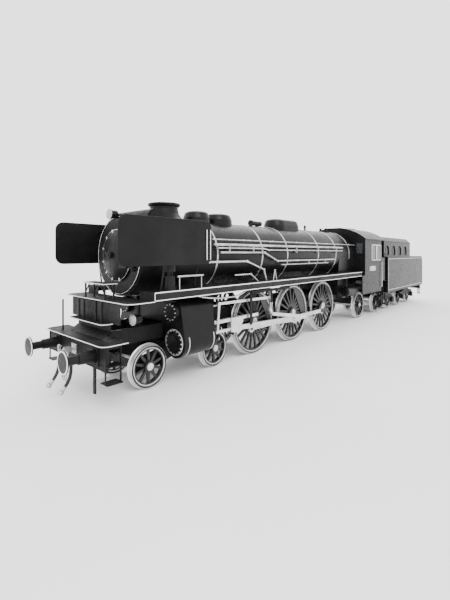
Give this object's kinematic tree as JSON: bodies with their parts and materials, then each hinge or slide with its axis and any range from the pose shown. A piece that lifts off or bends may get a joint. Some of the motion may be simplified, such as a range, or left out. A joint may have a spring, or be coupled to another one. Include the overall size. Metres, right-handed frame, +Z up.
{
  "type": "steam locomotive",
  "caption": "Large express steam locomotive with coupled driving wheels, smoke deflectors, outside cylinders and rods, open-backed cab, and a bogie tender.",
  "frame": {"origin": "on the plane the wheel flanges stand on, midway between the front and rear buffer faces and on the centre line", "axes": "+X forward along the track, +Y to the engine's left, +Z up"},
  "size_m": [24.12, 3.134, 4.5079],
  "materials": {
    "body_paint": "satin black enamel",
    "frame_paint": "satin black enamel",
    "wheel_paint": "black enamel with bright tyre edges",
    "bright_steel": "machined and oiled",
    "fittings_steel": "worn steel",
    "window_glass": "clear"
  },
  "bodies": {
    "engine": {"main_frame": "frame_paint", "buffer_beam": "frame_paint", "front_buffers": "body_paint", "front_coupling": "fittings_steel", "pilot_platform": "body_paint", "cylinders": "body_paint", "slide_bars": "bright_steel", "motion_brackets": "frame_paint", "valve_gear": "bright_steel", "brake_gear": "body_paint", "smokebox": "body_paint", "chimney": "body_paint", "feedwater_heater": "body_paint", "boiler_barrel": "body_paint", "firebox": "body_paint", "domes": "body_paint", "ashpan": "body_paint", "running_boards": "body_paint", "smoke_deflectors": "body_paint", "headlamps": "body_paint", "handrails": "fittings_steel", "boiler_pipes": "body_paint", "boiler_fittings": "body_paint", "pumps": "body_paint", "air_reservoirs": "body_paint", "cab_walls": "body_paint", "cab_roof": "body_paint", "cab_floor": "body_paint", "cab_window_glass": "window_glass", "cab_fittings": "body_paint"},
    "smokebox_door": {"smokebox_door": "body_paint"},
    "cab_door_left": {"cab_door_left": "body_paint"},
    "cab_door_right": {"cab_door_right": "body_paint"},
    "crosshead_left": {"crosshead_left": "bright_steel"},
    "crosshead_right": {"crosshead_right": "bright_steel"},
    "main_rod_left": {"main_rod_left": "bright_steel"},
    "main_rod_right": {"main_rod_right": "bright_steel"},
    "leading_bogie": {"bogie_frame": "frame_paint"},
    "leading_axle_front": {"leading_wheelset_front": "wheel_paint"},
    "leading_axle_rear": {"leading_wheelset_rear": "wheel_paint"},
    "driving_axle_front": {"driving_wheelset_front": "wheel_paint"},
    "driving_axle_main": {"driving_wheelset_main": "wheel_paint"},
    "driving_axle_rear": {"driving_wheelset_rear": "wheel_paint"},
    "coupling_rod_left": {"coupling_rod_left": "bright_steel"},
    "coupling_rod_right": {"coupling_rod_right": "bright_steel"},
    "trailing_truck": {"trailing_truck": "frame_paint"},
    "trailing_axle": {"trailing_wheelset": "wheel_paint"},
    "tender": {"tender_frame": "frame_paint", "tender_tank": "body_paint", "coal_bunker": "body_paint", "tender_drawgear": "body_paint"},
    "water_hatch_left": {"water_hatch_left": "body_paint"},
    "water_hatch_right": {"water_hatch_right": "body_paint"},
    "tender_bogie_front": {"tender_bogie_front": "frame_paint"},
    "tender_bogie_rear": {"tender_bogie_rear": "frame_paint"},
    "tender_axle_1": {"tender_wheelset_1": "wheel_paint"},
    "tender_axle_2": {"tender_wheelset_2": "wheel_paint"},
    "tender_axle_3": {"tender_wheelset_3": "wheel_paint"},
    "tender_axle_4": {"tender_wheelset_4": "wheel_paint"}
  },
  "joints": [
    {"name": "drive_spin", "type": "hinge", "parent": "engine", "child": "driving_axle_main", "pos_m": [3.71, 0, 1.028], "axis": [0, 1, 0], "continuous": true},
    {"name": "drive_spin_front", "type": "hinge", "parent": "engine", "child": "driving_axle_front", "pos_m": [6.01, 0, 1.028], "axis": [0, 1, 0], "continuous": true},
    {"name": "drive_spin_rear", "type": "hinge", "parent": "engine", "child": "driving_axle_rear", "pos_m": [1.41, 0, 1.028], "axis": [0, 1, 0], "continuous": true},
    {"name": "coupling_pin_left", "type": "hinge", "parent": "driving_axle_main", "child": "coupling_rod_left", "pos_m": [3.99579, 0.902, 0.863], "axis": [0, 1, 0], "continuous": true},
    {"name": "coupling_pin_right", "type": "hinge", "parent": "driving_axle_main", "child": "coupling_rod_right", "pos_m": [3.545, -0.902, 0.74221], "axis": [0, 1, 0], "continuous": true},
    {"name": "crosshead_slide_left", "type": "slide", "parent": "engine", "child": "crosshead_left", "axis": [1, 0, 0], "range_m": [-0.61153, 0.04847]},
    {"name": "crosshead_slide_right", "type": "slide", "parent": "engine", "child": "crosshead_right", "axis": [1, 0, 0], "range_m": [-0.15221, 0.50779]},
    {"name": "main_rod_swing_left", "type": "hinge", "parent": "crosshead_left", "child": "main_rod_left", "pos_m": [7.19153, 1.035, 1.028], "axis": [0, 1, 0], "range_deg": [-2.96, 8.88]},
    {"name": "main_rod_swing_right", "type": "hinge", "parent": "crosshead_right", "child": "main_rod_right", "pos_m": [6.73221, -1.035, 1.028], "axis": [0, 1, 0], "range_deg": [-0.8, 11.04]},
    {"name": "bogie_swivel", "type": "hinge", "parent": "engine", "child": "leading_bogie", "pos_m": [8.91, 0, 0.9], "axis": [0, 0, 1], "range_deg": [-3, 3]},
    {"name": "leading_spin_front", "type": "hinge", "parent": "leading_bogie", "child": "leading_axle_front", "pos_m": [10.01, 0, 0.528], "axis": [0, 1, 0], "continuous": true},
    {"name": "leading_spin_rear", "type": "hinge", "parent": "leading_bogie", "child": "leading_axle_rear", "pos_m": [7.81, 0, 0.528], "axis": [0, 1, 0], "continuous": true},
    {"name": "truck_swivel", "type": "hinge", "parent": "engine", "child": "trailing_truck", "pos_m": [-0.81, 0, 0.99], "axis": [0, 0, 1], "range_deg": [-3, 3]},
    {"name": "trailing_spin", "type": "hinge", "parent": "trailing_truck", "child": "trailing_axle", "pos_m": [-2.39, 0, 0.653], "axis": [0, 1, 0], "continuous": true},
    {"name": "smokebox_door_hinge", "type": "hinge", "parent": "engine", "child": "smokebox_door", "pos_m": [10.406, 0.712, 3.128], "axis": [0, 0, 1], "range_deg": [0, 110]},
    {"name": "cab_door_hinge_left", "type": "hinge", "parent": "engine", "child": "cab_door_left", "pos_m": [-3.542, 1.478, 2.2], "axis": [0, 0, 1], "range_deg": [0, 85]},
    {"name": "cab_door_hinge_right", "type": "hinge", "parent": "engine", "child": "cab_door_right", "pos_m": [-3.542, -1.478, 2.2], "axis": [0, 0, -1], "range_deg": [0, 85]},
    {"name": "tender_drawbar", "type": "hinge", "parent": "engine", "child": "tender", "pos_m": [-3.73, 0, 1.175], "axis": [0, 0, 1], "range_deg": [-4, 4]},
    {"name": "tender_bogie_swivel_front", "type": "hinge", "parent": "tender", "child": "tender_bogie_front", "pos_m": [-5.56, 0, 0.86], "axis": [0, 0, 1], "range_deg": [-5, 5]},
    {"name": "tender_bogie_swivel_rear", "type": "hinge", "parent": "tender", "child": "tender_bogie_rear", "pos_m": [-9.36, 0, 0.86], "axis": [0, 0, 1], "range_deg": [-5, 5]},
    {"name": "tender_spin_1", "type": "hinge", "parent": "tender_bogie_front", "child": "tender_axle_1", "pos_m": [-4.61, 0, 0.528], "axis": [0, 1, 0], "continuous": true},
    {"name": "tender_spin_2", "type": "hinge", "parent": "tender_bogie_front", "child": "tender_axle_2", "pos_m": [-6.51, 0, 0.528], "axis": [0, 1, 0], "continuous": true},
    {"name": "tender_spin_3", "type": "hinge", "parent": "tender_bogie_rear", "child": "tender_axle_3", "pos_m": [-8.41, 0, 0.528], "axis": [0, 1, 0], "continuous": true},
    {"name": "tender_spin_4", "type": "hinge", "parent": "tender_bogie_rear", "child": "tender_axle_4", "pos_m": [-10.31, 0, 0.528], "axis": [0, 1, 0], "continuous": true},
    {"name": "water_hatch_hinge_left", "type": "hinge", "parent": "tender", "child": "water_hatch_left", "pos_m": [-10.06, 0.48, 3.123], "axis": [1, 0, 0], "range_deg": [0, 100]},
    {"name": "water_hatch_hinge_right", "type": "hinge", "parent": "tender", "child": "water_hatch_right", "pos_m": [-10.06, -0.48, 3.123], "axis": [-1, 0, 0], "range_deg": [0, 100]}
  ],
  "couplings": [
    {"joint": "drive_spin_front", "follows": "drive_spin", "ratio": 1},
    {"joint": "drive_spin_rear", "follows": "drive_spin", "ratio": 1},
    {"joint": "coupling_pin_left", "follows": "drive_spin", "ratio": -1},
    {"joint": "coupling_pin_right", "follows": "drive_spin", "ratio": -1}
  ]
}
